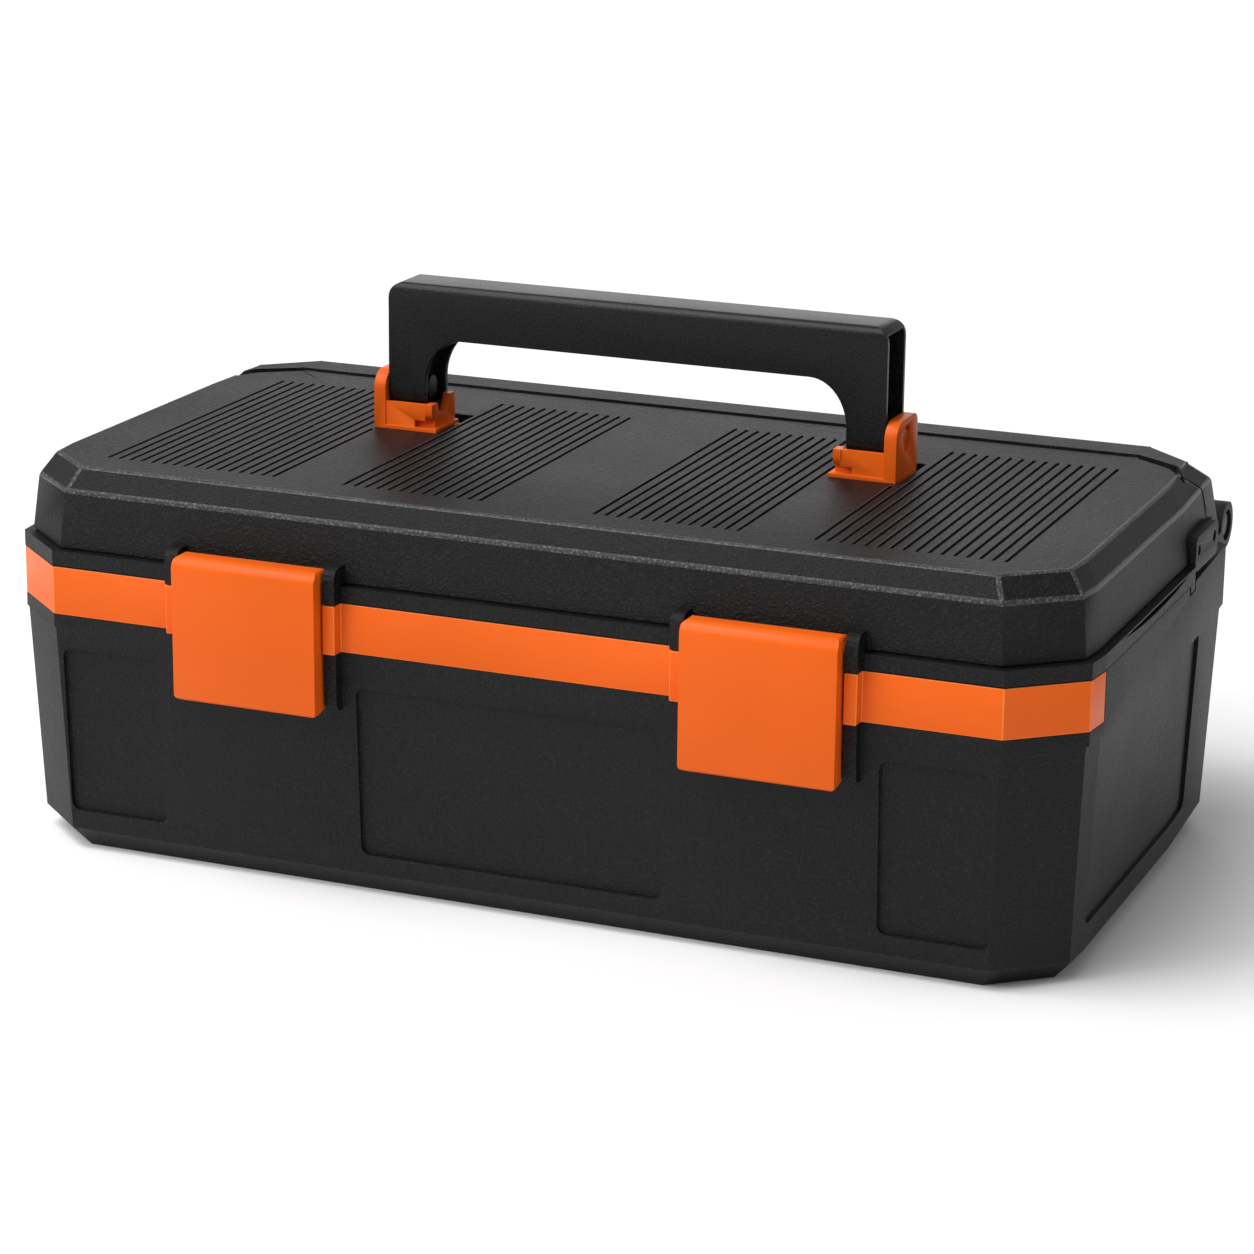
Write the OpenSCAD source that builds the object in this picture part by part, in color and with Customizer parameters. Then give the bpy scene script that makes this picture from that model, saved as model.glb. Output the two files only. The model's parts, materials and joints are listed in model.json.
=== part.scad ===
// Lidded tool box with a cantilever tray.
// Frame: +X along the front to the right, +Y to the back, +Z up.
// Origin: middle of the base, on the surface the box stands on.

/* [Box] */
// Length over the collar
box_l = 480; // [470:1:495]
// Depth over the collar
box_w = 267.2; // [264:0.2:276]
// Height of the parting line between tub and lid
parting_z = 128; // [126:1:132]
// Height of the flat top of the lid
lid_top_z = 169.5; // [168:0.5:176]
// Moulded wall thickness
wall = 3; // [2.6:0.1:3.2]
// Corner chamfer measured along the length
chamfer_x = 29.5; // [26:0.5:32]
// Corner chamfer measured along the depth
chamfer_y = 24.4; // [22:0.2:27]

/* [Front band] */
// Height of the coloured band
band_h = 21; // [18:1:22]
// Thickness of the coloured band
band_t = 1.8; // [1.4:0.2:2.2]

/* [Latches] */
// Width of a latch
latch_w = 66; // [60:1:70]
// Distance from the middle of the box to the middle of a latch
latch_x = 113.5; // [108:0.5:118]
// Height of a latch
latch_h = 62; // [58:1:64]

/* [Handle] */
// Length over the handle
handle_l = 231; // [225:1:236]
// Depth of the handle section
handle_d = 24; // [22:1:25]
// Height of the grip above the surface the box stands on
handle_top_z = 235; // [228:1:245]
// Thickness of the grip from top to underside
grip_h = 24; // [21:1:25]

/* [Hinge] */
// Outer radius of the hinge knuckles
knuckle_r = 10.5; // [9:0.5:10.5]
// Radius of the hinge pins
hinge_pin_r = 3; // [2.5:0.5:4]

/* [Tray] */
// Distance from each end of the tray to the side of the box
tray_gap = 19; // [19:1:25]
// Depth of the tray
tray_w = 153; // [140:1:153]
// Height of the tray
tray_h = 45; // [36:1:45]
// Number of loose dividers
divider_count = 4; // [2:1:5]
// Length of each tray arm between its pivots
arm_l = 76; // [72:1:76]

/* [Hidden] */

$fn = 48;
eps = 0.01;
fit = 0.06;          // radial clearance of a running fit
loose = 0.25;        // radial clearance of a pivot that closes a linkage
left = -1;
right = 1;

black = [0.13, 0.13, 0.13];
orange = [0.93, 0.36, 0.10];
steel = [0.72, 0.73, 0.75];

// Plan outline ------------------------------------------------------------
half_l = box_l / 2;
half_w = box_w / 2;
facet_x = 1.5;       // small second facet between chamfer and side
facet_y = 15;
back_facet_x = 3;    // how far the sides turn in towards the back corners
back_turn_y = 40;    // where that turn starts
leg_shrink = 0.35;   // how much a chamfer leg shortens for each mm of inset

// Corner of the plan, inset by d, as three points from the long side round to the short side
function front_corner(d, ahead) = let (hx = half_l - d, hy = half_w - d + ahead,
    lx = chamfer_x - leg_shrink * d, ly = chamfer_y - leg_shrink * d)
    [[hx - lx, hy], [hx - facet_x, hy - ly], [hx, hy - ly - facet_y]];
function back_corner(d, back) = let (hx = half_l - d, hy = half_w - d - back,
    lx = chamfer_x - leg_shrink * d, ly = chamfer_y - leg_shrink * d)
    [[hx - lx, hy], [hx - back_facet_x, hy - ly], [hx, back_turn_y]];
function reversed(p) = [for (i = [len(p) - 1:-1:0]) p[i]];
function scaled(p, sx, sy) = [for (q = p) [q[0] * sx, q[1] * sy]];

// Whole plan, inset by d, with the back face moved forward by back and the front face by ahead
function plan(d, back = 0, ahead = 0) = concat(
    scaled(front_corner(d, ahead), 1, -1),
    reversed(back_corner(d, back)),
    scaled(back_corner(d, back), -1, 1),
    reversed(scaled(front_corner(d, ahead), -1, -1)));

// Closed solid through a stack of plans, each [z, inset, back, ahead]
module stack(levels) {
    n = len(plan(0));
    points = [for (v = levels) for (q = plan(v[1], v[2], v[3])) [q[0], q[1], v[0]]];
    top = (len(levels) - 1) * n;
    sides = [for (k = [0:len(levels) - 2]) for (i = [0:n - 1])
        for (t = [0, 1]) let (a = k * n + i, b = k * n + (i + 1) % n)
            t == 0 ? [a, b + n, b] : [a, a + n, b + n]];
    bottom_face = [for (i = [0:n - 1]) i];
    top_face = [for (i = [n - 1:-1:0]) top + i];
    polyhedron(points, concat(sides, [bottom_face], [top_face]));
}

module slab(x0, x1, y0, y1, z0, z1) {
    translate([min(x0, x1), min(y0, y1), z0]) cube([abs(x1 - x0), abs(y1 - y0), z1 - z0]);
}

// Cylinder along X between x0 and x1
module rod(x0, x1, y, z, r) {
    translate([min(x0, x1), y, z]) rotate([0, 90, 0]) cylinder(h = abs(x1 - x0), r = r);
}

// Rounded rectangle standing in the XZ plane, cut or raised between y0 and y1
module panel_xz(x0, x1, z0, z1, y0, y1, r) {
    translate([0, y1, 0]) rotate([90, 0, 0]) linear_extrude(y1 - y0)
        rounded_rect(x0, x1, z0, z1, r);
}

// Rounded rectangle standing in the YZ plane between x0 and x1
module panel_yz(y0, y1, z0, z1, x0, x1, r) {
    translate([x0, 0, 0]) rotate([90, 0, 90]) linear_extrude(x1 - x0)
        rounded_rect(y0, y1, z0, z1, r);
}

module rounded_rect(a0, a1, b0, b1, r) {
    translate([a0 + r, b0]) square([a1 - a0 - 2 * r, b1 - b0]);
    translate([a0, b0 + r]) square([a1 - a0, b1 - b0 - 2 * r]);
    for (a = [a0 + r, a1 - r]) for (b = [b0 + r, b1 - r]) translate([a, b]) circle(r);
}

// Shared places -----------------------------------------------------------
gap = 0.3;                       // between tub rim and lid
band_top = parting_z - 0.2;
band_bottom = band_top - band_h;
collar_bottom = band_bottom - 5.8;
band_end_y = -half_w + chamfer_y + facet_y;
hinge_y = half_w + 7.4;
hinge_z = parting_z + 0.5;
tub_lug = [half_l - 29, half_l - 10.5];      // x range of the tub's knuckle
lid_lug = [half_l - 44, half_l - 29.4];      // x range of the lid's knuckle
rib_in = latch_w / 2 + 0.9;      // ribs beside a latch, from its middle
rib_out = rib_in + 5.5;
beyond_x = half_l + 2;           // just past the outside of the sides

// Layers of the tray linkage across the width, from the tray out to the lid's side wall
link_x = [half_l - 17.5, half_l - 15];
arm_x = [half_l - 14, half_l - 11.5];
stud_plate_x = [half_l - 10.6, half_l - 8.6];
pad_x = half_l - 5;
plate_x = [half_l - 6.4, half_l - 0.2];

// Tub ---------------------------------------------------------------------
collar_inset = 1.2;
foot_inset = 4.7;
bevel_h = 9.4;
bevel_inset = 7.4;
floor_t = 3;
inner_inset = collar_inset + wall;
panel_depth = 1.6;
panel_z = [17.8, 92];
centre_panel_half = 67.8;
end_panel = [half_l - 79.4, half_l - 33];
side_panel_y = [-93, 66];
side_panel_z = [20, 100];
back_panel_x = [-140, 0, 140];
back_panel_half = 58;
arm_pivot_z = parting_z - 16;
rear_pivot_y = 77;
front_pivot_y = -16;
pivot_boss_x = half_l - 11.2;
pivot_r = 2.5;
tail_y = [37, 44];               // tail at the end of the lid's side flange

// Level of the tub's leaning outer wall at height z, moved in by extra
function wall_level(z, extra) = let (share = (z - bevel_h) / (collar_bottom - bevel_h))
    [z, foot_inset + (collar_inset - foot_inset) * share + extra, 0, collar_inset * share];

module tub_body() {
    stack([[0, foot_inset + bevel_inset, 0, 0], wall_level(bevel_h, 0),
           wall_level(collar_bottom + eps, 0)]);
    translate([0, 0, collar_bottom]) linear_extrude(parting_z - collar_bottom)
        polygon(plan(0));
}

module tub_cavity() {
    stack([[floor_t, foot_inset + wall + 4, 0, 0], [bevel_h + 1, foot_inset + wall, 0, 0],
           [collar_bottom, inner_inset, 0, 0], [parting_z + 1, inner_inset, 0, 0]]);
}

module band_groove(depth, z0, z1, y_end) {
    intersection() {
        translate([0, 0, z0]) linear_extrude(z1 - z0) difference() {
            polygon(plan(-1));
            polygon(plan(depth));
        }
        slab(-half_l - 2, half_l + 2, -half_w - 2, y_end, z0 - 1, z1 + 1);
    }
}

// Lower rib with a rounded foot that runs out into the wall
module lower_ribs() {
    foot_z = 82;
    face_y = -half_w - 5;
    for (side = [left, right]) for (e = [left, right])
        translate([side * latch_x + e * (rib_in + rib_out) / 2, 0, 0]) rotate([90, 0, 90])
            translate([0, 0, -(rib_out - rib_in) / 2]) linear_extrude(rib_out - rib_in)
                polygon([[-half_w + 4, foot_z], [face_y + 3.4, foot_z], [face_y + 1.8, foot_z + 0.7],
                         [face_y + 0.7, foot_z + 2.2], [face_y + 0.3, foot_z + 4.5],
                         [face_y, band_bottom - 0.3], [-half_w + 4, band_bottom - 0.3]]);
}

module keeper() {
    for (side = [left, right])
        translate([side * latch_x, 0, 0]) rotate([90, 0, 90])
            translate([0, 0, -latch_w / 2 + 8]) linear_extrude(latch_w - 16)
                polygon([[-half_w + 1, 96], [-half_w - 2.6, 98.5], [-half_w - 2.6, 100.5],
                         [-half_w + 1, 104]]);
}

module tub() {
    color(black) difference() {
        union() {
            difference() {
                tub_body();
                tub_cavity();
                recessed_panels();
            }
            lower_ribs();
            keeper();
            for (side = [left, right]) {
                tub_knuckle(side);
                for (y = [rear_pivot_y, front_pivot_y])
                    rod(side * pivot_boss_x, side * (half_l - inner_inset + 1), y,
                        arm_pivot_z, 8);
            }
        }
        band_groove(band_t + 0.05, band_bottom - 0.1, band_top + 0.1, band_end_y + 0.3);
        for (side = [left, right]) {
            slab(side * (half_l - 4), side * (half_l + 1), tail_y[0] - 2, tail_y[1] + 2,
                 parting_z - 4, parting_z + 1);
            rod(side * (lid_lug[0] - 0.5), side * (lid_lug[1] + 0.2), hinge_y, hinge_z,
                knuckle_r + 0.7);
            rod(side * (tub_lug[0] - 1), side * (tub_lug[1] + 1), hinge_y, hinge_z,
                hinge_pin_r);
            rod(side * (tub_lug[1] - 3), side * (tub_lug[1] + 1), hinge_y, hinge_z, 7);
            for (y = [rear_pivot_y, front_pivot_y])
                rod(side * (pivot_boss_x - 1), side * (pivot_boss_x + 5), y,
                    arm_pivot_z, pivot_r);
        }
    }
}

// Shallow panels in all four walls, of even depth although the walls lean
module recessed_panels() {
    reach = 12;
    difference() {
        union() {
            panel_xz(-centre_panel_half, centre_panel_half, panel_z[0], panel_z[1],
                     -half_w - 1, -half_w + reach, 4);
            for (side = [left, right])
                panel_xz(min(side * end_panel[0], side * end_panel[1]),
                         max(side * end_panel[0], side * end_panel[1]),
                         panel_z[0], panel_z[1], -half_w - 1, -half_w + reach, 4);
            for (x = back_panel_x)
                panel_xz(x - back_panel_half, x + back_panel_half, panel_z[0], panel_z[1],
                         half_w - reach, half_w + 1, 4);
            for (x = [-half_l - 1, half_l - reach])
                panel_yz(side_panel_y[0], side_panel_y[1], side_panel_z[0], side_panel_z[1],
                         x, x + reach + 1, 5);
        }
        stack([wall_level(0, panel_depth), wall_level(parting_z, panel_depth)]);
    }
}

// Fixed knuckle on the back corner of the tub
module tub_knuckle(side) {
    rod(side * tub_lug[0], side * tub_lug[1], hinge_y, hinge_z, knuckle_r);
    difference() {
        mirror([side > 0 ? 0 : 1, 0, 0]) translate([tub_lug[0], 0, 0]) rotate([90, 0, 90])
            linear_extrude(tub_lug[1] - tub_lug[0])
                polygon([[hinge_y - 34, parting_z - 0.3], [hinge_y - 34, parting_z - 13],
                         [hinge_y - 12, parting_z - 13], [hinge_y + 4, hinge_z - knuckle_r + 1],
                         [hinge_y, parting_z - 0.3]]);
        tub_cavity();
    }
}

module front_band() {
    color(orange) union() {
        intersection() {
            translate([0, 0, band_bottom]) linear_extrude(band_h) difference() {
                polygon(plan(0));
                polygon(plan(band_t));
            }
            slab(-half_l - 1, half_l + 1, -half_w - 1, band_end_y, 0, parting_z);
        }
        for (side = [left, right]) for (e = [left, right])
            slab(side * latch_x + e * rib_in, side * latch_x + e * rib_out,
                 -half_w - 6, -half_w + 1, band_bottom, band_top);
    }
}

module hinge_pin(side) {
    color(steel) union() {
        rod(side * (lid_lug[0] - 2), side * (tub_lug[1] - 1), hinge_y, hinge_z, hinge_pin_r);
        rod(side * (tub_lug[1] - 3), side * (tub_lug[1] - 1), hinge_y, hinge_z, 5);
    }
}

// Lid ---------------------------------------------------------------------
flange_top = parting_z + 6.9;
lid_wall = [flange_top + 1, 3.3];
lid_shoulder = [parting_z + 32, 6];
lid_crown = 12.5;
lid_back = [0, 6, 18];           // how far the back face leans forward at each level
lid_bottom = parting_z + gap;
stud_y = hinge_y - 60;
stud_z = hinge_z;
groove_y = [-102.5, 60];
groove_w = 1.7;
groove_depth = 1.1;
outer_field = [121, half_l - 40, 16];    // from x, to x, number of grooves
inner_field = [25.5, 88, 13];
pocket_x = [90.5, 122.5];
pocket_y = [-1.5, 34];
pocket_floor = lid_top_z - 5.5;
flange_end_y = tail_y[1];
seam_y = 85.5;                   // groove that sets off the back strip of the lid
seam_turn = [half_l - 37, half_l - 18];      // x where it leaves the back edge and meets the side
seam_side_y = 73;
seam_depth = 1.4;
seam_w = 1.2;
seam_corner_w = 2.2;
lens = [-70, 34, 2.4];           // long gap in the side flange: y from, y to, depth
lens_z = flange_top - 0.8;
lid_levels = [[lid_bottom, lid_wall[1] + 0.9, lid_back[0], 0],
              [lid_wall[0], lid_wall[1] + 0.9, lid_back[0], 0],
              [lid_wall[0] + eps, lid_wall[1], lid_back[0], 0],
              [lid_shoulder[0], lid_shoulder[1], lid_back[1], 0],
              [lid_top_z, lid_crown, lid_back[2], 0]];

module lid_outer() {
    stack(lid_levels);
    flange();
    back_strip();
    for (side = [left, right]) for (e = [left, right]) latch_tab(side, e);
}

module lid_cavity() {
    stack([[lid_bottom - 1, lid_wall[1] + wall, lid_back[0], 0],
           [lid_wall[0], lid_wall[1] + wall, lid_back[0], 0],
           [lid_shoulder[0] - 1, lid_shoulder[1] + wall, lid_back[1], 0],
           [lid_top_z - wall, lid_crown + 1.6, lid_back[2], 0]]);
}

// Flange that meets the tub's collar at the front, sides and middle of the back
module flange() {
    difference() {
        intersection() {
            translate([0, 0, lid_bottom]) linear_extrude(flange_top - lid_bottom)
                polygon(plan(0));
            union() {
                slab(-half_l, half_l, -half_w, flange_end_y, 0, lid_top_z);
                slab(-lid_lug[0] + 6, lid_lug[0] - 6, 90, half_w, 0, lid_top_z);
            }
        }
        lid_cavity();
    }
    intersection() {
        translate([0, 0, parting_z - 3.2]) linear_extrude(flange_top - parting_z + 3.2)
            polygon(plan(0));
        for (side = [left, right])
            slab(side * (half_l - 3.8), side * half_l, tail_y[0], tail_y[1], 0, lid_top_z);
    }
}

// Long thin gap that opens in the side flange
module flange_gap() {
    steps = 12;
    outline = [for (i = [0:steps]) let (t = i / steps)
        [lens[0] + (lens[1] - lens[0]) * t, lens_z - lens[2] * 4 * t * (1 - t)]];
    for (side = [left, right])
        translate([side > 0 ? half_l - 3 : -half_l - 1, 0, 0]) rotate([90, 0, 90])
            linear_extrude(4) polygon(outline);
}

// Raised strip along the back edge of the top
module back_strip() {
    intersection() {
        translate([0, 0, lid_top_z - 2]) linear_extrude(2.8) polygon(plan(lid_crown, lid_back[2]));
        translate([0, 0, lid_top_z - 3]) linear_extrude(5)
            polygon(concat(seam_corner(0), [[half_l, half_w], [-half_l, half_w]],
                reversed([for (q = seam_corner(0)) [-q[0], q[1]]])));
    }
}

// Ear on the lid flange that carries one end of a latch's pivot
module latch_tab(side, e) {
    face_y = -half_w - 6;
    root_y = -half_w + 5;
    tab_top = flange_top + 8.4;
    translate([side * latch_x + e * (rib_in + rib_out) / 2, 0, 0]) rotate([90, 0, 90])
        translate([0, 0, -(rib_out - rib_in) / 2]) linear_extrude(rib_out - rib_in)
            polygon([[face_y, lid_bottom], [face_y, tab_top - 4.4], [face_y + 0.6, tab_top - 2.4],
                     [face_y + 2, tab_top - 0.8], [face_y + 4.2, tab_top],
                     [root_y, tab_top], [root_y, lid_bottom]]);
}

module top_grooves() {
    for (side = [left, right]) for (f = [outer_field, inner_field]) for (i = [0:f[2] - 1]) {
        x = side * (f[0] + (f[1] - f[0]) * i / (f[2] - 1));
        before_pocket = abs(x) > pocket_x[0] - 1.5 && abs(x) < pocket_x[1] + 2;
        end_y = before_pocket ? pocket_y[0] - 6 : groove_y[1];
        slab(x - groove_w / 2, x + groove_w / 2, groove_y[0], end_y,
             lid_top_z - groove_depth, lid_top_z + 1);
    }
}

// Groove between the lid and the strip along its back, over the top and down the sides
module seam() {
    inner = [for (v = lid_levels) [v[0] < lid_top_z ? v[0] : v[0] - seam_depth,
        v[1] + (v[0] < lid_top_z ? seam_depth : seam_depth / 2), v[2], 0]];
    difference() {
        union() {
            translate([0, 0, lid_top_z - 4]) linear_extrude(6) union() {
                translate([-seam_turn[0], seam_y - seam_w])
                    square([2 * seam_turn[0], seam_w]);
                for (side = [left, right])
                    polygon([for (q = concat(seam_corner(0), reversed(seam_corner(seam_corner_w))))
                        [side * q[0], q[1]]]);
            }
            for (side = [left, right])
                yz_plate(side, seam_turn[1] + 2, half_l + 1, concat(seam_side(0),
                    reversed(seam_side(seam_w))));
        }
        stack(inner);
    }
}

// Where the groove runs across the back corner of the top, moved in by d
function seam_corner(d) = [[seam_turn[0] - 0.5, seam_y - d], [seam_turn[1] - d, seam_side_y - d],
                           [seam_turn[1] + 7 - d, seam_side_y - 11 - d]];

// Where it runs down the side, as [y, z], moved forward by d
function seam_side(d) = [[60 - d, lid_top_z + 1], [80 - d, lid_top_z - 9.5],
                         [85 - d, lid_top_z - 19], [85 - d, plate_z[1] - 2]];

module pockets() {
    for (side = [left, right])
        slab(side * pocket_x[0], side * pocket_x[1], pocket_y[0], pocket_y[1],
             pocket_floor, lid_top_z + 1);
}

module pocket_wells() {
    for (side = [left, right])
        slab(side * (pocket_x[0] - wall), side * (pocket_x[1] + wall), pocket_y[0] - wall,
             pocket_y[1] + wall, pocket_floor - wall, lid_top_z - wall + eps);
}

module lid_knuckle(side) {
    rod(side * lid_lug[0], side * lid_lug[1], hinge_y, hinge_z, knuckle_r);
    slab(side * lid_lug[0], side * lid_lug[1], half_w - lid_back[0] - 7, hinge_y,
         hinge_z + 0.8, hinge_z + knuckle_r);
}

module lid_shell() {
    color(black) difference() {
        union() {
            difference() {
                lid_outer();
                lid_cavity();
                for (side = [left, right])
                    rod(side * (lid_lug[0] - 1), side * (tub_lug[1] + 12), hinge_y, hinge_z,
                        knuckle_r + 0.7);
            }
            pocket_wells();
            for (side = [left, right]) {
                lid_knuckle(side);
                slab(side * stud_plate_x[1], side * pad_x, stud_plate_y[0], stud_plate_y[1],
                     lid_bottom + 2, lid_wall[0] + 9);
            }
        }
        pockets();
        top_grooves();
        seam();
        flange_gap();
        for (side = [left, right]) {
            rod(side * (lid_lug[0] - 1), side * (lid_lug[1] + 1), hinge_y, hinge_z,
                hinge_pin_r + fit);
            for (e = [left, right])
                rod(side * latch_x + e * (rib_in - 1), side * latch_x + e * (rib_out - 1.5),
                    latch_pivot[0], latch_pivot[1], latch_pin_r + fit);
            rod(side * latch_x - rib_in, side * latch_x + rib_in,
                latch_pivot[0], latch_pivot[1], 5.1);
            panel_yz(plate_y[0] - fit, plate_y[1] + fit, plate_z[0] - fit, plate_z[1] + fit,
                     side > 0 ? plate_x[0] - fit : -half_l - 1, side > 0 ? half_l + 1 : -plate_x[0] + fit, 3);
            slab(side * arm_x[1], side * stud_plate_x[1], stud_plate_y[0] - 0.1, stud_plate_y[1] + 0.1,
                 lid_bottom + 1.9, stud_plate_top + 0.1);
            for (y = plate_screw_y)
                rod(side * arm_x[1], side * beyond_x, y, plate_screw_z, plate_screw_r);
            for (q = bracket_screw_at)
                translate([side * q[0], q[1], pocket_floor - 10])
                    cylinder(h = 20, r = 2);
        }
    }
}

// Plates and stud brackets that carry the tray links -----------------------
plate_y = [flange_end_y + 0.3, 81];
plate_z = [parting_z + 4, parting_z + 19];
plate_screw_y = [49, 75];
stud_plate_y = [42, 90];
stud_plate_top = parting_z + 17;
stud_lobe_r = 7;
plate_screw_z = parting_z + 13;
plate_screw_r = 1.75;
plate_head_r = 2.6;
plate_head_h = 1.8;

module side_plate(side) {
    x0 = side > 0 ? plate_x[0] : -plate_x[1];
    color(black) difference() {
        panel_yz(plate_y[0], plate_y[1], plate_z[0], plate_z[1],
                 x0, x0 + plate_x[1] - plate_x[0], 3);
        for (y = plate_screw_y) {
            rod(side * stud_plate_x[1], side * beyond_x, y, plate_screw_z, plate_screw_r);
            rod(side * (plate_x[1] - plate_head_h), side * beyond_x, y, plate_screw_z, plate_head_r);
        }
    }
}

module plate_screws() {
    color(steel) for (side = [left, right]) for (y = plate_screw_y) {
        rod(side * (stud_plate_x[0] + 0.2), side * (plate_x[1] - 1.5), y, plate_screw_z,
            plate_screw_r);
        rod(side * (plate_x[1] - plate_head_h), side * (plate_x[1] - 1), y, plate_screw_z,
            plate_head_r - 0.1);
    }
}

module stud_bracket(side) {
    color(steel) difference() {
        union() {
            slab(side * stud_plate_x[0], side * stud_plate_x[1], stud_plate_y[0], stud_plate_y[1],
                 lid_bottom + 2, stud_plate_top);
            slab(side * stud_plate_x[0], side * stud_plate_x[1], stud_y - stud_lobe_r,
                 stud_y + stud_lobe_r, stud_z - 1, lid_bottom + 3);
            rod(side * stud_plate_x[0], side * stud_plate_x[1], stud_y, stud_z, stud_lobe_r);
            rod(side * (link_x[0] - 1.4), side * (stud_plate_x[0] + 0.6), stud_y, stud_z, pivot_r);
            rod(side * (link_x[1] + 0.3), side * (stud_plate_x[0] + 0.6), stud_y, stud_z, 5);
            rod(side * (link_x[0] - 0.2), side * (link_x[0] - 1.4), stud_y, stud_z, 4.5);
        }
        for (y = plate_screw_y)
            rod(side * arm_x[1], side * pad_x, y, plate_screw_z, plate_screw_r);
    }
}

// Handle and its brackets ---------------------------------------------------
handle_y = 10;
handle_z = lid_top_z + 17.5;
handle_out = handle_l / 2;
leg_w = 17.5;
leg_in = handle_out - leg_w;
under_z = handle_top_z - grip_h;
handle_front = handle_y - handle_d / 2;
handle_back = handle_y + handle_d / 2;
ear_in = handle_out + 0.5;
ear_out = ear_in + 5.4;
bracket_front = [handle_front - 2.7, handle_front - 0.4];
bracket_wall_z = lid_top_z + 12.3;
handle_pin_r = 3;
bracket_screw_at = [[104, 16], [112, 22]];
ear_back = handle_back + 1.5;
ear_top = handle_z + 8;
inner_wall = [leg_in - 4.6, leg_in - 1.2];   // low wall inside the leg
barrel_in = leg_in + 4;                      // where the front wall's thin end starts

// Points of an arc about [cy, cz] in the YZ plane
function arc(cy, cz, r, a0, a1, steps) = [for (i = [0:steps])
    let (a = a0 + (a1 - a0) * i / steps) [cy + r * cos(a), cz + r * sin(a)]];

// Solid with a YZ outline between x0 and x1 on one side of the box
module yz_plate(side, x0, x1, outline) {
    translate([side > 0 ? x0 : -x1, 0, 0]) rotate([90, 0, 90]) linear_extrude(x1 - x0)
        polygon(outline);
}

module handle_bracket(side) {
    front = bracket_front[0];
    pocket_front = pocket_y[0] + 0.2;
    low = lid_top_z + 7;
    color(orange) difference() {
        union() {
            // base plate on the pocket floor
            slab(side * inner_wall[0], side * ear_out, pocket_front, handle_back + 6,
                 pocket_floor, pocket_floor + 3);
            // block along the pocket's front edge
            slab(side * inner_wall[0], side * ear_out, pocket_front, front + 6,
                 pocket_floor, lid_top_z + 1.7);
            slab(side * inner_wall[0], side * (barrel_in + 1), pocket_front, front + 6,
                 pocket_floor, low - 2);
            // foot on the lid in front of the pocket and beside it
            slab(side * (inner_wall[0] - 2), side * ear_out, front, pocket_front + 1,
                 lid_top_z, lid_top_z + 1.7);
            slab(side * (inner_wall[0] - 2), side * (inner_wall[0] + 1), front, handle_y + 9,
                 lid_top_z + 0.2, lid_top_z + 1.7);
            // front wall that stops the handle upright, and its thin end
            slab(side * barrel_in, side * ear_in, front + 0.4, bracket_front[1],
                 lid_top_z, bracket_wall_z);
            slab(side * inner_wall[1], side * (barrel_in + 1), front + 0.4, bracket_front[1],
                 low - 2, bracket_wall_z);
            // low wall inside the leg: barrel at the front, dip under the leg, tab at the back
            yz_plate(side, inner_wall[0], inner_wall[1], concat(
                arc(front + 3.7, bracket_wall_z - 3.7, 3.7, 270, 180, 5),
                [[front, bracket_wall_z], [1.5, bracket_wall_z], [3.5, low], [11, low],
                 [13.5, bracket_wall_z - 1], [14.5, bracket_wall_z + 1.7],
                 [handle_back - 3.5, bracket_wall_z + 1.7], [handle_back - 2.5, bracket_wall_z],
                 [handle_back - 2.5, pocket_floor], [pocket_front, pocket_floor]]));
            // outer ear
            yz_plate(side, ear_in, ear_out, concat([[front, lid_top_z]],
                arc(front + 8, ear_top - 8, 8, 180, 90, 8),
                arc(ear_back - 5, ear_top - 5, 5, 90, 0, 6),
                [[ear_back, pocket_floor], [pocket_front, pocket_floor], [pocket_front, lid_top_z]]));
        }
        rod(side * (ear_in - 1), side * (ear_out + 1), handle_y, handle_z, handle_pin_r);
        // oval recess around the end of the pin
        panel_yz(handle_y - 5.2, handle_y + 3.2, handle_z - 7, handle_z + 5,
                 side > 0 ? ear_out - 1.8 : -ear_out - 1, side > 0 ? ear_out + 1 : -ear_out + 1.8, 4);
        for (q = bracket_screw_at)
            translate([side * q[0], q[1], pocket_floor - 1]) cylinder(h = 3.6, r = 1.6);
    }
}

module bracket_screws() {
    color(steel) for (side = [left, right]) for (q = bracket_screw_at)
        translate([side * q[0], q[1], 0]) {
            translate([0, 0, pocket_floor - wall - 2]) cylinder(h = 2, r = 3.4);
            translate([0, 0, pocket_floor - wall - 0.5]) cylinder(h = wall + 2.9, r = 1.6);
        }
}

module handle_pin(side) {
    color(orange) rod(side * (leg_in + 4), side * (ear_out - 1), handle_y, handle_z, handle_pin_r);
}

arch = [17, under_z - handle_z - 3];   // reach of the rounded inner corner along the grip and down the leg
arch_mid = [leg_in - arch[0], under_z - arch[1]];
function arch_points(grow, a0, a1, steps) = [for (i = [0:steps])
    let (a = a0 + (a1 - a0) * i / steps)
    [arch_mid[0] + (arch[0] + grow) * cos(a), arch_mid[1] + (arch[1] + grow) * sin(a)]];

// Half of the handle's front outline, from the top middle round to the underside
module handle_outline() {
    corner_r = 7;
    leg_foot = handle_z - handle_d / 2;
    polygon(concat([[0, handle_top_z]], arc(handle_out - corner_r, handle_top_z - corner_r,
                                            corner_r, 90, 0, 6),
        [[handle_out, leg_foot], [leg_in, leg_foot]], arch_points(0, 0, 90, 14), [[0, under_z]]));
}

// Section of the grip and side view of the legs in the YZ plane
module handle_section() {
    r = 3.6;
    polygon(concat(arc(handle_back - r, handle_top_z - r, r, 0, 90, 5),
        arc(handle_front + r, handle_top_z - r, r, 90, 180, 5),
        arc(handle_y, handle_z, handle_d / 2, 180, 360, 28)));
}

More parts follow.
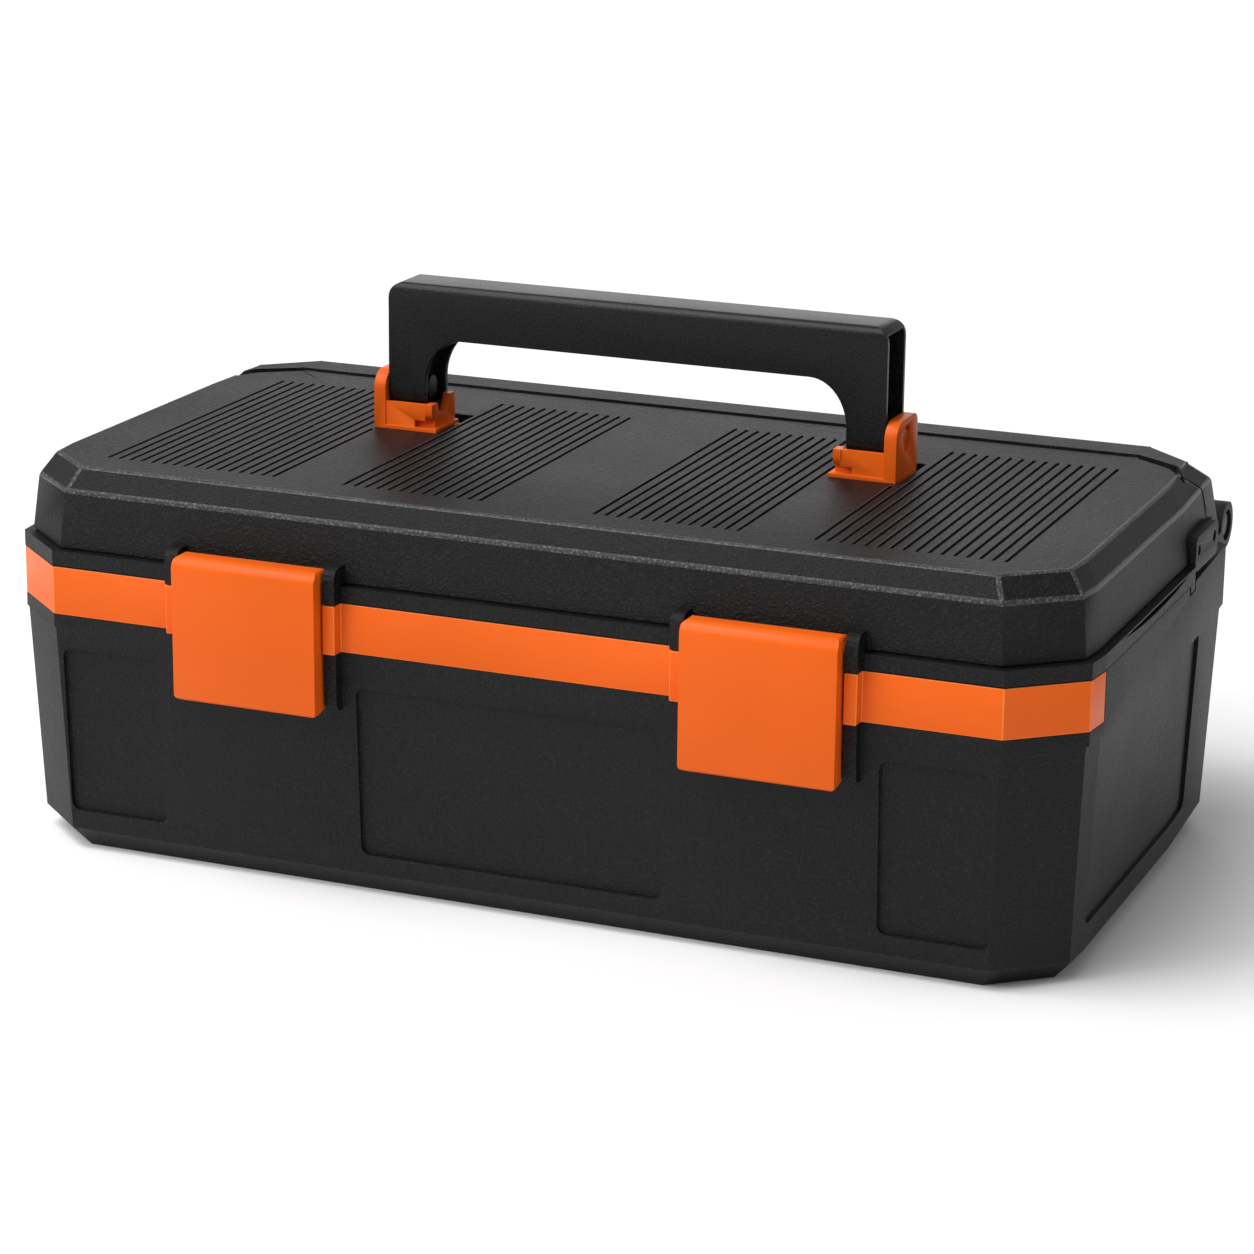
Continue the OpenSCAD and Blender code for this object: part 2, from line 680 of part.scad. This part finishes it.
module handle() {
    tunnel_z = [under_z + 3, handle_top_z - 4];
    side_t = 2.2;
    color(black) difference() {
        intersection() {
            for (side = [left, right])
                mirror([side > 0 ? 0 : 1, 0, 0])
                    translate([0, handle_back + 1, 0]) rotate([90, 0, 0])
                        linear_extrude(handle_d + 2) handle_outline();
            translate([-handle_out - 1, 0, 0]) rotate([90, 0, 90])
                linear_extrude(2 * handle_out + 2) handle_section();
        }
        // long hollow of the grip, open at both ends
        slab(-handle_out - 1, handle_out + 1, handle_front + side_t, handle_back - side_t,
             tunnel_z[0], tunnel_z[1]);
        for (side = [left, right]) {
            // open recess in the outer face of the leg
            slab(side * (handle_out - 8), side * (handle_out + 1), handle_front + side_t,
                 handle_back - side_t, handle_z + 7, tunnel_z[0] + 1);
            difference() {
                leg_channel(side);
                rod(side * (leg_in + 1.8), side * (leg_in + 6), handle_y, handle_z, 5);
            }
            rod(side * (leg_in + 3.5), side * (handle_out + 1), handle_y, handle_z,
                handle_pin_r + fit);
        }
    }
}

// Open channel in the inner face of a leg, which follows the rounded corner
module leg_channel(side) {
    lip = 3;
    deep = 4.5;
    foot = handle_z - 7;
    mirror([side > 0 ? 0 : 1, 0, 0]) translate([0, handle_back - lip, 0]) rotate([90, 0, 0])
        linear_extrude(handle_d - 2 * lip)
            polygon(concat([[leg_in - 1, foot], [leg_in + deep, foot]],
                arch_points(deep, 0, 52, 8), [[arch_mid[0] + 4, arch_mid[1]]]));
}

// Latches -------------------------------------------------------------------
latch_pivot = [-half_w - 2.2, parting_z + 9.7];
latch_pin_r = 2.4;
latch_top = parting_z + 14.2;
latch_bottom = latch_top - latch_h;
latch_face = -half_w - 12;

// Side profile of a latch as [y, z] points, hollow at the back
module latch_profile() {
    skin = 2.6;
    round_r = 5.5;
    difference() {
        union() {
            polygon(concat([[latch_pivot[0], latch_top]],
                arc(latch_face + round_r, latch_top - round_r, round_r, 90, 180, 6),
                [[latch_face, latch_bottom + 2.4], [latch_face + 0.6, latch_bottom + 0.9],
                 [latch_face + 1.8, latch_bottom], [latch_face + 11, latch_bottom + 3],
                 [latch_face + 9, latch_pivot[1] - 8], [latch_pivot[0], latch_pivot[1] - 4]]));
            translate([latch_pivot[0], latch_pivot[1]]) circle(latch_top - latch_pivot[1]);
        }
        polygon([[latch_face + skin, latch_pivot[1] - 8], [latch_face + skin, latch_bottom + 5],
                 [latch_face + 12, latch_bottom + 6.5], [latch_face + 12, latch_pivot[1] - 8]]);
    }
}

module latch(side) {
    x0 = side * latch_x - latch_w / 2;
    cheek = 2.4;
    color(orange) union() {
        intersection() {
            translate([x0, 0, 0]) rotate([90, 0, 90]) linear_extrude(latch_w) latch_profile();
            panel_xz(x0, x0 + latch_w, latch_bottom, latch_top, latch_face - 1, -half_w + 4, 2.2);
        }
        for (x = [x0, x0 + latch_w - cheek])
            translate([x, 0, 0]) rotate([90, 0, 90]) linear_extrude(cheek)
                polygon([[latch_face + 1, latch_pivot[1] - 7], [latch_face + 1, latch_bottom + 4.5],
                         [latch_face + 10.9, latch_bottom + 5], [latch_face + 9, latch_pivot[1] - 7]]);
        // snap hook under the keeper
        slab(x0 + 10, x0 + latch_w - 10, latch_face + 2, -half_w - 3, 92.4, 95);
        rod(x0 - rib_in + latch_w / 2 - 3.6, x0 + 1, latch_pivot[0], latch_pivot[1], latch_pin_r);
        rod(x0 + latch_w - 1, x0 + latch_w / 2 + rib_in + 3.6, latch_pivot[0], latch_pivot[1],
            latch_pin_r);
    }
}

// Tray and its linkage --------------------------------------------------------
tray_half = half_l - tray_gap;
tray_l = 2 * tray_half;
tray_front = -122;
tray_back = tray_front + tray_w;
tray_top = parting_z - 3;
tray_floor = tray_top - tray_h;
tray_wall = 2.2;
tray_pivot_front = front_pivot_y - arm_l;
tray_pivot_rear = rear_pivot_y - arm_l;
arm_w = 12;
link_pivot_y = rear_pivot_y - 60;

// Tray plan with chamfered front corners, inset by d
function tray_plan(d) = let (x = tray_half - d, f = tray_front + d, b = tray_back - d,
    cx = 30 - leg_shrink * d, cy = 25 - leg_shrink * d)
    [[-x + cx, f], [x - cx, f], [x, f + cy], [x, b], [-x, b], [-x, f + cy]];

divider_slots = [for (i = [1:divider_count]) -tray_half + tray_l * i / (divider_count + 1)];
long_wall_y = tray_front + tray_w * 0.55;

module tray_shell() {
    color(orange) difference() {
        union() {
            difference() {
                translate([0, 0, tray_floor]) linear_extrude(tray_h) polygon(tray_plan(0));
                translate([0, 0, tray_floor + tray_wall]) linear_extrude(tray_h)
                    polygon(tray_plan(tray_wall));
            }
            // fixed long wall with a carrying slot
            difference() {
                slab(-tray_half + 1, tray_half - 1, long_wall_y, long_wall_y + 2,
                     tray_floor + 1, tray_top - 2);
                panel_xz(-45, 45, tray_top - 24, tray_top - 8, long_wall_y - 1, long_wall_y + 3, 7);
            }
            for (side = [left, right]) for (y = [tray_pivot_front, tray_pivot_rear])
                rod(side * (tray_half - tray_wall), side * (arm_x[0] - 0.4), y, arm_pivot_z, 5.5);
            // ribs that hold the loose dividers
            for (x = divider_slots) for (e = [left, right]) {
                slab(x + e * 1, x + e * 2.4, tray_front + 1, tray_front + 5,
                     tray_floor + 1, tray_top - 4);
                slab(x + e * 1, x + e * 2.4, long_wall_y - 3, long_wall_y + 1,
                     tray_floor + 1, tray_top - 4);
            }
        }
        for (side = [left, right]) for (y = [tray_pivot_front, tray_pivot_rear])
            rod(side * (tray_half - 6), side * arm_x[1], y, arm_pivot_z, pivot_r);
    }
}

module tray_dividers() {
    color(orange) for (x = divider_slots)
        slab(x - 0.8, x + 0.8, tray_front + tray_wall + 0.3, long_wall_y - 0.3,
             tray_floor + tray_wall, tray_top - 5);
}

module tray_rivets() {
    color(steel) for (side = [left, right]) for (y = [tray_pivot_front, tray_pivot_rear]) {
        rod(side * (tray_half - tray_wall - 1), side * (arm_x[1] + 0.2), y, arm_pivot_z, pivot_r);
        rod(side * (tray_half - tray_wall - 1.2), side * (tray_half - tray_wall), y, arm_pivot_z, 4);
    }
}

module tub_rivets() {
    color(steel) for (side = [left, right]) for (y = [rear_pivot_y, front_pivot_y]) {
        rod(side * (arm_x[0] - 0.9), side * (pivot_boss_x + 5), y, arm_pivot_z, pivot_r);
        rod(side * (arm_x[0] - 1.3), side * (arm_x[0] - 0.2), y, arm_pivot_z, 4);
    }
}

// Flat bar with round ends in the YZ plane from a to b, between x0 and x1
module bar(side, a, b, x0, x1, w) {
    len_ab = norm(b - a);
    angle = atan2(b[1] - a[1], b[0] - a[0]);
    x_low = side > 0 ? x0 : -x1;
    translate([x_low, a[0], a[1]]) rotate([90, 0, 90]) rotate([0, 0, angle]) linear_extrude(x1 - x0) {
        translate([0, -w / 2]) square([len_ab, w]);
        circle(w / 2);
        translate([len_ab, 0]) circle(w / 2);
    }
}

module arm(side, root_y, tip_y, driven) {
    color(steel) difference() {
        bar(side, [root_y, arm_pivot_z], [tip_y, arm_pivot_z], arm_x[0], arm_x[1], arm_w);
        rod(side * link_x[1], side * stud_plate_x[0], root_y, arm_pivot_z, pivot_r + fit);
        rod(side * link_x[1], side * stud_plate_x[0], tip_y, arm_pivot_z, pivot_r + loose);
        if (driven) rod(side * link_x[1], side * stud_plate_x[0], link_pivot_y, arm_pivot_z, pivot_r);
    }
}

module link_rivet(side) {
    color(steel) {
        rod(side * (link_x[0] - 0.4), side * arm_x[1], link_pivot_y, arm_pivot_z, pivot_r);
    }
}

module drive_link(side) {
    color(steel) difference() {
        bar(side, [link_pivot_y, arm_pivot_z], [stud_y, stud_z], link_x[0], link_x[1], arm_w);
        rod(side * (link_x[0] - 1), side * arm_x[0], link_pivot_y, arm_pivot_z, pivot_r + loose);
        rod(side * (link_x[0] - 1), side * arm_x[0], stud_y, stud_z, pivot_r + fit);
    }
}

tub();
front_band();
hinge_pin(left);  // hinge_pin_left
hinge_pin(right);  // hinge_pin_right
lid_shell();
side_plate(left);  // side_plate_left
side_plate(right);  // side_plate_right
plate_screws();
stud_bracket(left);  // stud_bracket_left
stud_bracket(right);  // stud_bracket_right
handle_bracket(left);  // handle_bracket_left
handle_bracket(right);  // handle_bracket_right
bracket_screws();
handle_pin(left);  // handle_pin_left
handle_pin(right);  // handle_pin_right
handle();
latch(left);  // latch_left
latch(right);  // latch_right
tray_shell();
tray_dividers();
tray_rivets();
tub_rivets();
arm(left, front_pivot_y, tray_pivot_front, false);  // front_arm_left
arm(right, front_pivot_y, tray_pivot_front, false);  // front_arm_right
arm(left, rear_pivot_y, tray_pivot_rear, true);  // rear_arm_left
arm(right, rear_pivot_y, tray_pivot_rear, true);  // rear_arm_right
link_rivet(left);  // link_rivet_left
link_rivet(right);  // link_rivet_right
drive_link(left);  // drive_link_left
drive_link(right);  // drive_link_right
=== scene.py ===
import json
import math

import bpy
import bmesh
from mathutils import Matrix, Vector

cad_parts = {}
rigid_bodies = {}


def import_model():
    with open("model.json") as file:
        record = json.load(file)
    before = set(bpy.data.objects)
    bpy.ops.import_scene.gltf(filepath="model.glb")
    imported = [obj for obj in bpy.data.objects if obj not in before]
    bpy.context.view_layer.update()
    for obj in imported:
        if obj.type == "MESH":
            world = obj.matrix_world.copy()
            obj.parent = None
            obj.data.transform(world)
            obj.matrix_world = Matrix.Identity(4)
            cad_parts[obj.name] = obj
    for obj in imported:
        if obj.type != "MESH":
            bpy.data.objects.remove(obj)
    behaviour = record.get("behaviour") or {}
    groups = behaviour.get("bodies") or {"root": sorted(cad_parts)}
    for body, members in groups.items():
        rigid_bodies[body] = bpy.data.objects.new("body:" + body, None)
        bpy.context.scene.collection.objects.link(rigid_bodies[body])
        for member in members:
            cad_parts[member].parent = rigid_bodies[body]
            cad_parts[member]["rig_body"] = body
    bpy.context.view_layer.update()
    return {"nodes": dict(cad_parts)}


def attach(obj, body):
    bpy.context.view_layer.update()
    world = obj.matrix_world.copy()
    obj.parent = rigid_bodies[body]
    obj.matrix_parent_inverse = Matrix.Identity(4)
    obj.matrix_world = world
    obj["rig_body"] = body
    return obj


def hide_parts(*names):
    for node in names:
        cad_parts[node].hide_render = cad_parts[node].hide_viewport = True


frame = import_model()
nodes = frame["nodes"]


# ------------------------------------------------------------------ materials


class Nodes:
    """Small helper that adds and links shader nodes."""

    def __init__(self, name):
        self.mat = bpy.data.materials.new(name)
        self.mat.use_nodes = True
        self.tree = self.mat.node_tree
        self.shader = self.tree.nodes["Principled BSDF"]
        self.coords = self.add("ShaderNodeTexCoord").outputs["Object"]

    def add(self, kind, **values):
        node = self.tree.nodes.new(kind)
        for key, value in values.items():
            if key.startswith("in_"):
                node.inputs[key[3:].replace("_", " ")].default_value = value
            else:
                setattr(node, key, value)
        return node

    def link(self, a, b):
        self.tree.links.new(a, b)

    def noise(self, scale, detail=2.0, rough=0.5, stretch=None):
        coords = self.coords
        if stretch:
            mapping = self.add("ShaderNodeMapping")
            mapping.inputs["Scale"].default_value = stretch
            self.link(coords, mapping.inputs["Vector"])
            coords = mapping.outputs["Vector"]
        node = self.add("ShaderNodeTexNoise", in_Scale=scale, in_Detail=detail, in_Roughness=rough)
        self.link(coords, node.inputs["Vector"])
        return node.outputs["Fac"]

    def remap(self, value, low, high, from_low=0.3, from_high=0.7):
        node = self.add("ShaderNodeMapRange")
        node.inputs["From Min"].default_value = from_low
        node.inputs["From Max"].default_value = from_high
        node.inputs["To Min"].default_value = low
        node.inputs["To Max"].default_value = high
        self.link(value, node.inputs["Value"])
        return node.outputs["Result"]

    def math(self, kind, a, b):
        node = self.add("ShaderNodeMath", operation=kind)
        for socket, value in zip(node.inputs, (a, b)):
            if isinstance(value, (int, float)):
                socket.default_value = value
            else:
                self.link(value, socket)
        return node.outputs["Value"]

    def mix(self, factor, a, b):
        node = self.add("ShaderNodeMix", data_type="RGBA")
        self.link(factor, node.inputs["Factor"])
        for socket, value in ((node.inputs[6], a), (node.inputs[7], b)):
            if isinstance(value, tuple):
                socket.default_value = (*value, 1)
            else:
                self.link(value, socket)
        return node.outputs[2]

    def bump(self, height, strength, distance):
        node = self.add("ShaderNodeBump")
        node.inputs["Strength"].default_value = strength
        node.inputs["Distance"].default_value = distance
        self.link(height, node.inputs["Height"])
        return node.outputs["Normal"]

    def set(self, **values):
        for key, value in values.items():
            self.shader.inputs[key.replace("_", " ")].default_value = value


def moulded_black(name, base, roughness, grain, grain_scale):
    n = Nodes(name)
    fine = n.noise(grain_scale, 3.0, 0.6)
    coarse = n.noise(14.0, 3.0, 0.55)
    shade = n.mix(n.remap(coarse, 0.0, 1.0), tuple(c * 0.85 for c in base),
                  tuple(c * 1.15 for c in base))
    speck = n.mix(n.remap(fine, 0.0, 0.8, 0.50, 0.68), shade, tuple(c * 5.0 for c in base))
    n.link(speck, n.shader.inputs["Base Color"])
    n.link(n.math("ADD", n.remap(fine, roughness - 0.07, roughness + 0.07),
                  n.remap(coarse, -0.03, 0.03)), n.shader.inputs["Roughness"])
    n.link(n.bump(fine, grain, 0.0008), n.shader.inputs["Normal"])
    n.set(IOR=1.49, Specular_IOR_Level=0.22)
    return n.mat


def moulded_orange(name, base, roughness):
    n = Nodes(name)
    fine = n.noise(1900.0, 2.0, 0.5)
    coarse = n.noise(18.0, 3.0, 0.5)
    flow = n.noise(60.0, 2.0, 0.5, (0.35, 1.0, 1.0))
    shade = n.mix(n.remap(coarse, 0.0, 1.0), tuple(c * 0.95 for c in base),
                  tuple(min(1.0, c * 1.04) for c in base))
    n.link(shade, n.shader.inputs["Base Color"])
    n.link(n.math("ADD", n.remap(fine, roughness - 0.04, roughness + 0.04),
                  n.remap(flow, -0.05, 0.05)), n.shader.inputs["Roughness"])
    n.link(n.bump(fine, 0.10, 0.0003), n.shader.inputs["Normal"])
    n.set(IOR=1.49, Specular_IOR_Level=0.16)
    return n.mat


def zinc(name):
    n = Nodes(name)
    brushed = n.noise(900.0, 3.0, 0.6, (1.0, 0.06, 1.0))
    blotch = n.noise(120.0, 4.0, 0.6)
    n.link(n.mix(n.remap(blotch, 0.0, 1.0), (0.50, 0.51, 0.53), (0.70, 0.71, 0.73)),
           n.shader.inputs["Base Color"])
    n.link(n.math("ADD", n.remap(blotch, 0.28, 0.42), n.remap(brushed, -0.06, 0.08)),
           n.shader.inputs["Roughness"])
    n.link(n.bump(brushed, 0.15, 0.0003), n.shader.inputs["Normal"])
    n.set(Metallic=1.0)
    return n.mat


def black_oxide(name):
    n = Nodes(name)
    oiled = n.noise(260.0, 4.0, 0.6)
    turned = n.noise(1200.0, 2.0, 0.5, (1.0, 0.1, 1.0))
    n.link(n.mix(n.remap(oiled, 0.0, 1.0), (0.020, 0.020, 0.021), (0.050, 0.050, 0.052)),
           n.shader.inputs["Base Color"])
    n.link(n.math("ADD", n.remap(oiled, 0.34, 0.48), n.remap(turned, -0.05, 0.05)),
           n.shader.inputs["Roughness"])
    n.link(n.bump(turned, 0.12, 0.0002), n.shader.inputs["Normal"])
    n.set(Metallic=0.8)
    return n.mat


black = moulded_black("box_black", (0.0036, 0.0036, 0.0037), 0.48, 0.90, 900.0)
handle_black = moulded_black("handle_black", (0.0070, 0.0070, 0.0072), 0.34, 0.20, 1500.0)
orange = moulded_orange("moulded_orange", (0.79, 0.118, 0.007), 0.36)
tray_orange = moulded_orange("tray_orange", (0.76, 0.112, 0.007), 0.42)
# Paler copies for the rounded edge faces: painted highlights along the edges.
black_painted_highlight = moulded_black("box_black_painted_highlight", (0.034, 0.034, 0.0345), 0.34, 0.30, 950.0)
handle_painted_highlight = moulded_black("handle_black_painted_highlight", (0.010, 0.010, 0.0105), 0.27, 0.15, 1500.0)
orange_painted_highlight = moulded_orange("moulded_orange_painted_highlight", (0.88, 0.20, 0.035), 0.28)
steel = zinc("zinc_steel")
dark_steel = black_oxide("black_steel")


def material_for(node):
    if node in ("tub", "lid_shell") or node.startswith("side_plate"):
        return black
    if node == "handle":
        return handle_black
    if node in ("tray_shell", "tray_dividers"):
        return tray_orange
    if node == "front_band" or node.startswith(("latch", "handle_")):
        return orange
    if node.startswith("hinge_pin") or node == "plate_screws":
        return dark_steel
    return steel


# Rounded edges get a smoother, paler copy of each material: the paleness is a painted highlight along
# the edges.
PAINTED_EDGE_HIGHLIGHT = {black: black_painted_highlight, handle_black: handle_painted_highlight, orange: orange_painted_highlight, tray_orange: orange_painted_highlight}

# ------------------------------------------------------------------ edges
WELD = 0.00002                     # vertices closer than this are one
FLAT = math.radians(0.6)           # faces that meet at less than this are one flat face
SHARP = math.radians(1.5)          # edges above this stay crisp in the shading
BEVEL_FROM = math.radians(24)      # edges above this are rounded
LID_TOP = 0.1695                   # height of the lid's flat top
SHELL_FOOT = 0.1368                # the lid's outer edges are rounded above this height
SHELL_FRONT, SHELL_BACK = -0.1312, 0.1275
FIELD_X = 0.2015                   # the grooved fields lie within this of the middle
FIELD_FRONT, FIELD_BACK = -0.104, 0.0615

# Width and segments of the rounding on each CAD node.
EDGE = {
    "tub": (0.0010, 3), "front_band": (0.0004, 2),
    "handle": (0.0030, 4), "latch_left": (0.0012, 3), "latch_right": (0.0012, 3),
    "handle_bracket_left": (0.0007, 2), "handle_bracket_right": (0.0007, 2),
    "tray_shell": (0.0006, 2), "tray_dividers": (0.0003, 1),
}


def soften(obj, width, segments):
    for face in obj.data.polygons:
        face.use_smooth = True
    weld = obj.modifiers.new("weld", "WELD")
    weld.merge_threshold = WELD
    flat = obj.modifiers.new("flat", "DECIMATE")
    flat.decimate_type = "DISSOLVE"
    flat.angle_limit = FLAT
    bevel = obj.modifiers.new("bevel", "BEVEL")
    bevel.width = width
    bevel.segments = segments
    bevel.limit_method = "ANGLE"
    bevel.angle_limit = BEVEL_FROM
    bevel.use_clamp_overlap = True
    bevel.miter_outer = "MITER_ARC"
    bevel.harden_normals = True
    # The bevel faces take the last slot: the painted-highlight copy where the material has one.
    bevel.material = len(obj.data.materials) - 1


def reworked(node, name, bevels, material):
    """A copy of a CAD node's surface with flat faces merged and edges rounded, shown in its place."""
    mesh = nodes[node].data.copy()
    mesh.name = name
    piece = bpy.data.objects.new(name, mesh)
    bpy.context.scene.collection.objects.link(piece)
    b = bmesh.new()
    b.from_mesh(mesh)
    bmesh.ops.remove_doubles(b, verts=b.verts, dist=WELD)
    rounded = b.faces.layers.int.new("rounded")
    bevels(b, rounded)
    for face in b.faces:
        face.smooth = True
    for edge in b.edges:
        if edge_angle(edge) > SHARP and not any(f[rounded] for f in edge.link_faces):
            edge.smooth = False
    mesh.materials.clear()
    mesh.materials.append(material)
    # Slot 1: the painted-highlight copy for the rounded faces.
    mesh.materials.append(PAINTED_EDGE_HIGHLIGHT[material])
    b.to_mesh(mesh)
    b.free()
    for attribute in list(mesh.attributes):
        if attribute.name == "custom_normal":
            mesh.attributes.remove(attribute)
    normals = piece.modifiers.new("normals", "WEIGHTED_NORMAL")
    normals.keep_sharp = True
    normals.weight = 90
    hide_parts(node)
    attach(piece, nodes[node]["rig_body"])


def edge_angle(edge):
    return edge.calc_face_angle(0.0) if len(edge.link_faces) == 2 else 0.0


def bevel_edges(b, rounded, edges, offset, segments):
    made = bmesh.ops.bevel(b, geom=edges, offset=offset, segments=segments, profile=0.5,
                           affect="EDGES", clamp_overlap=False)
    for face in made["faces"]:
        face[rounded] = 1
        # Rounded faces take slot 1, the painted-highlight copy.
        face.material_index = 1


def on_top(vert):
    return abs(vert.co.z - LID_TOP) < 1e-5


def in_fields(vert):
    return abs(vert.co.x) < FIELD_X and FIELD_FRONT < vert.co.y < FIELD_BACK


def round_lid(b, rounded):
    """Merges the lid's flat faces, then rounds its outer edges and the rims of its grooves."""
    middle = Vector((0, 0, 0.12))
    plane = {f for f in b.faces if all(on_top(v) for v in f.verts)}
    rest = [e for e in b.edges if not any(f in plane for f in e.link_faces)]
    verts = {v for e in rest for v in e.verts}
    bmesh.ops.dissolve_limit(b, angle_limit=FLAT, use_dissolve_boundaries=False,
                             verts=[v for v in verts if not on_top(v)], edges=rest)

    def outside(face):
        return face.normal.dot(face.calc_center_median() - middle) > 0.03

    def on_shell(edge):
        if not edge.is_convex or edge.calc_length() < 0.006 or edge_angle(edge) < 0.12:
            return False
        if not all(outside(f) for f in edge.link_faces):
            return False
        for v in edge.verts:
            y, z = v.co.y, v.co.z
            if z < SHELL_FOOT or y < SHELL_FRONT or y > SHELL_BACK or in_fields(v):
                return False
        return True

    big = [e for e in b.edges if on_shell(e)]
    bevel_edges(b, rounded, big, 0.0012, 3)
    rims = [e for e in b.edges
            if edge_angle(e) > 0.5 and all(on_top(v) and in_fields(v) for v in e.verts)]
    bevel_edges(b, rounded, rims, 0.00035, 2)


for name, obj in nodes.items():
    obj.data.materials.clear()
    material = material_for(name)
    obj.data.materials.append(material)
    if name == "lid_shell":
        reworked(name, "lid", round_lid, black)
        continue
    # Add the painted-highlight copy for the rounded edges.
    if material in PAINTED_EDGE_HIGHLIGHT:
        obj.data.materials.append(PAINTED_EDGE_HIGHLIGHT[material])
    width, segments = EDGE.get(name, (0.0003, 2))
    soften(obj, width, segments)

# ------------------------------------------------------------------ stage


def camera_at(place, azimuth, elevation, roll, lens):
    a, e, r = map(math.radians, (azimuth, elevation, roll))
    forward = Vector((-math.sin(a) * math.cos(e), math.cos(a) * math.cos(e), math.sin(e)))
    across = Vector((math.cos(a), math.sin(a), 0))
    up = across.cross(forward)
    right = across * math.cos(r) + up * math.sin(r)
    top = up * math.cos(r) - across * math.sin(r)
    data = bpy.data.cameras.new("camera")
    data.lens = lens
    data.sensor_width = 36
    camera = bpy.data.objects.new("camera", data)
    bpy.context.scene.collection.objects.link(camera)
    rows = Matrix((right, top, -forward)).transposed().to_4x4()
    camera.matrix_world = Matrix.Translation(place) @ rows
    bpy.context.scene.camera = camera
    data.clip_end = 50


camera_at(Vector((0.60827, -1.48379, 0.56630)), 22.339, -16.519, 0.621, 109.5955)


def area_light(name, place, target, size, power):
    data = bpy.data.lights.new(name, "AREA")
    data.energy = power
    data.size = size
    light = bpy.data.objects.new(name, data)
    bpy.context.scene.collection.objects.link(light)
    light.location = place
    light.rotation_mode = "QUATERNION"
    light.rotation_quaternion = (Vector(target) - Vector(place)).to_track_quat("-Z", "Y")


def sun_light(name, direction, strength, spread):
    data = bpy.data.lights.new(name, "SUN")
    data.energy = strength
    data.angle = math.radians(spread)
    light = bpy.data.objects.new(name, data)
    bpy.context.scene.collection.objects.link(light)
    light.rotation_mode = "QUATERNION"
    light.rotation_quaternion = Vector(direction).to_track_quat("-Z", "Y")


centre = (0, 0, 0.1)
sun_light("soft_sun", (0.45, 0.42, -0.85), 2.2, 60)
area_light("back_left", (-1.1, 2.8, 1.2), centre, 1.6, 10)
area_light("front_left", (-1.4, -1.6, 1.5), centre, 1.0, 8)
area_light("softbox", (-0.64, -0.58, 1.7), centre, 0.6, 7)

bpy.context.scene.view_settings.view_transform = "Standard"
world = bpy.data.worlds.new("studio")
bpy.context.scene.world = world
world.use_nodes = True
world.node_tree.nodes["Background"].inputs["Color"].default_value = (1, 1, 1, 1)
world.node_tree.nodes["Background"].inputs["Strength"].default_value = 0.38

floor_mesh = bpy.data.meshes.new("floor")
b = bmesh.new()
bmesh.ops.create_grid(b, x_segments=1, y_segments=1, size=6)
b.to_mesh(floor_mesh)
b.free()
floor = bpy.data.objects.new("floor", floor_mesh)
bpy.context.scene.collection.objects.link(floor)
f = Nodes("floor_white")
f.link(f.mix(f.remap(f.noise(3.0), 0.0, 1.0), (0.93, 0.93, 0.93), (0.95, 0.95, 0.95)),
       f.shader.inputs["Base Color"])
f.set(Roughness=0.9)
floor_mesh.materials.append(f.mat)
